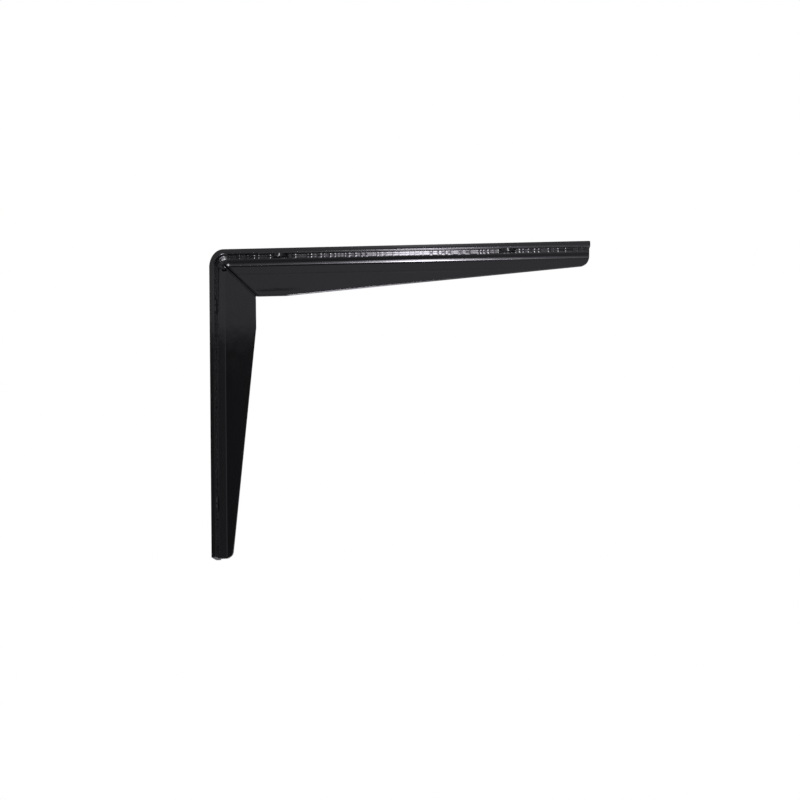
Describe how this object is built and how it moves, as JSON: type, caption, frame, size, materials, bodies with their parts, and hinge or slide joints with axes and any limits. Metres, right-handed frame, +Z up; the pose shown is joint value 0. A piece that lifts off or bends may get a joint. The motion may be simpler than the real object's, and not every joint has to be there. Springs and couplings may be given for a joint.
{
  "type": "shelf bracket",
  "caption": "Right-angled steel shelf bracket bent from tee bar, with tapered webs, a mitred seam at the bend and countersunk screw holes in both arms.",
  "frame": {"origin": "middle of the wall face, halfway up the wall arm and halfway across the flange", "axes": "+X away from the wall along the shelf arm, +Z up, square to the shelf face, +Y along the wall"},
  "size_m": [0.25, 0.03, 0.202],
  "materials": {
    "black_paint": "gloss"
  },
  "bodies": {
    "root": {"bracket": "black_paint"}
  },
  "joints": []
}
